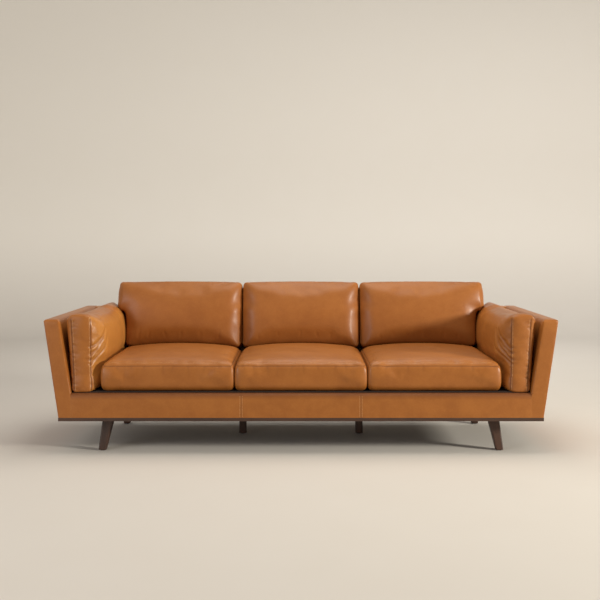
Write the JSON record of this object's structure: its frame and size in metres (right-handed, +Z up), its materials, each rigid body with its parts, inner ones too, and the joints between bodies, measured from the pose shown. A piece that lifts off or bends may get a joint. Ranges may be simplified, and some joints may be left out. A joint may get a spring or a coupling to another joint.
{
  "type": "sofa",
  "caption": "Long sofa with leather-covered arms and back that flare outwards, loose seat, back and side cushions, and a dark wooden plinth on splayed tapered legs.",
  "frame": {"origin": "on the floor, under the middle of the sofa's overall width and depth", "axes": "+X along the sofa's width to the right as seen from the front, +Y to the rear, +Z up; the sofa faces -Y"},
  "size_m": [2.5598, 0.9399, 0.8297],
  "materials": {
    "tan_leather": "soft waxed pull-up leather, tan, mottled and slightly creased",
    "walnut": "dark walnut, satin lacquer",
    "frame_timber": "planed softwood and plywood, raw",
    "foam": "upholstery foam",
    "steel": "zinc-plated and tempered steel",
    "glide_plastic": "black nylon",
    "dark_cloth": "black woven polypropylene, felt and elastic webbing"
  },
  "bodies": {
    "frame": {"plinth_front": "walnut", "plinth_rear": "walnut", "plinth_left": "walnut", "plinth_right": "walnut", "plinth_bearers": "walnut", "leg_front_left": "walnut", "leg_front_right": "walnut", "leg_rear_left": "walnut", "leg_rear_right": "walnut", "leg_middle_left": "walnut", "leg_middle_right": "walnut", "leg_plates": "steel", "leg_bolts": "steel", "plate_screws": "steel", "leg_glides": "glide_plastic", "seat_rail_front": "frame_timber", "seat_rail_rear": "frame_timber", "seat_rail_left": "frame_timber", "seat_rail_right": "frame_timber", "seat_stretchers": "frame_timber", "corner_blocks": "frame_timber", "arm_posts_left": "frame_timber", "arm_posts_right": "frame_timber", "arm_boards_left": "frame_timber", "arm_boards_right": "frame_timber", "back_posts": "frame_timber", "back_top_rail": "frame_timber", "back_middle_rail": "frame_timber", "back_bottom_rail": "frame_timber", "seat_springs": "steel", "spring_clips": "steel", "back_straps": "dark_cloth", "deck_pad": "dark_cloth", "deck_cloth": "dark_cloth", "dust_cover": "dark_cloth", "arm_foam_left": "foam", "arm_foam_right": "foam", "rail_foam": "foam", "back_foam": "foam", "arm_cover_left": "tan_leather", "arm_cover_right": "tan_leather", "front_rail_cover": "tan_leather", "inside_back_cover": "tan_leather", "outside_back_cover": "tan_leather"},
    "seat_left": {"seat_cushion_left": "tan_leather", "seat_core_left": "foam"},
    "back_left": {"back_cushion_left": "tan_leather", "back_core_left": "foam"},
    "seat_middle": {"seat_cushion_middle": "tan_leather", "seat_core_middle": "foam"},
    "back_middle": {"back_cushion_middle": "tan_leather", "back_core_middle": "foam"},
    "seat_right": {"seat_cushion_right": "tan_leather", "seat_core_right": "foam"},
    "back_right": {"back_cushion_right": "tan_leather", "back_core_right": "foam"},
    "side_left": {"side_cushion_left": "tan_leather", "side_core_left": "foam"},
    "side_right": {"side_cushion_right": "tan_leather", "side_core_right": "foam"}
  },
  "joints": [
    {"name": "seat_left_slide", "type": "slide", "parent": "frame", "child": "seat_left", "axis": [0, -1, 0], "range_m": [0, 0.8]},
    {"name": "seat_middle_slide", "type": "slide", "parent": "frame", "child": "seat_middle", "axis": [0, -1, 0], "range_m": [0, 0.8]},
    {"name": "seat_right_slide", "type": "slide", "parent": "frame", "child": "seat_right", "axis": [0, -1, 0], "range_m": [0, 0.8]},
    {"name": "side_left_slide", "type": "slide", "parent": "frame", "child": "side_left", "axis": [0, -1, 0], "range_m": [0, 0.86]},
    {"name": "side_right_slide", "type": "slide", "parent": "frame", "child": "side_right", "axis": [0, -1, 0], "range_m": [0, 0.86]},
    {"name": "back_left_lift", "type": "slide", "parent": "frame", "child": "back_left", "axis": [0, 0.1788, 0.9839], "range_m": [0, 0.3]},
    {"name": "back_middle_lift", "type": "slide", "parent": "frame", "child": "back_middle", "axis": [0, 0.1788, 0.9839], "range_m": [0, 0.3]},
    {"name": "back_right_lift", "type": "slide", "parent": "frame", "child": "back_right", "axis": [0, 0.1788, 0.9839], "range_m": [0, 0.3]}
  ]
}
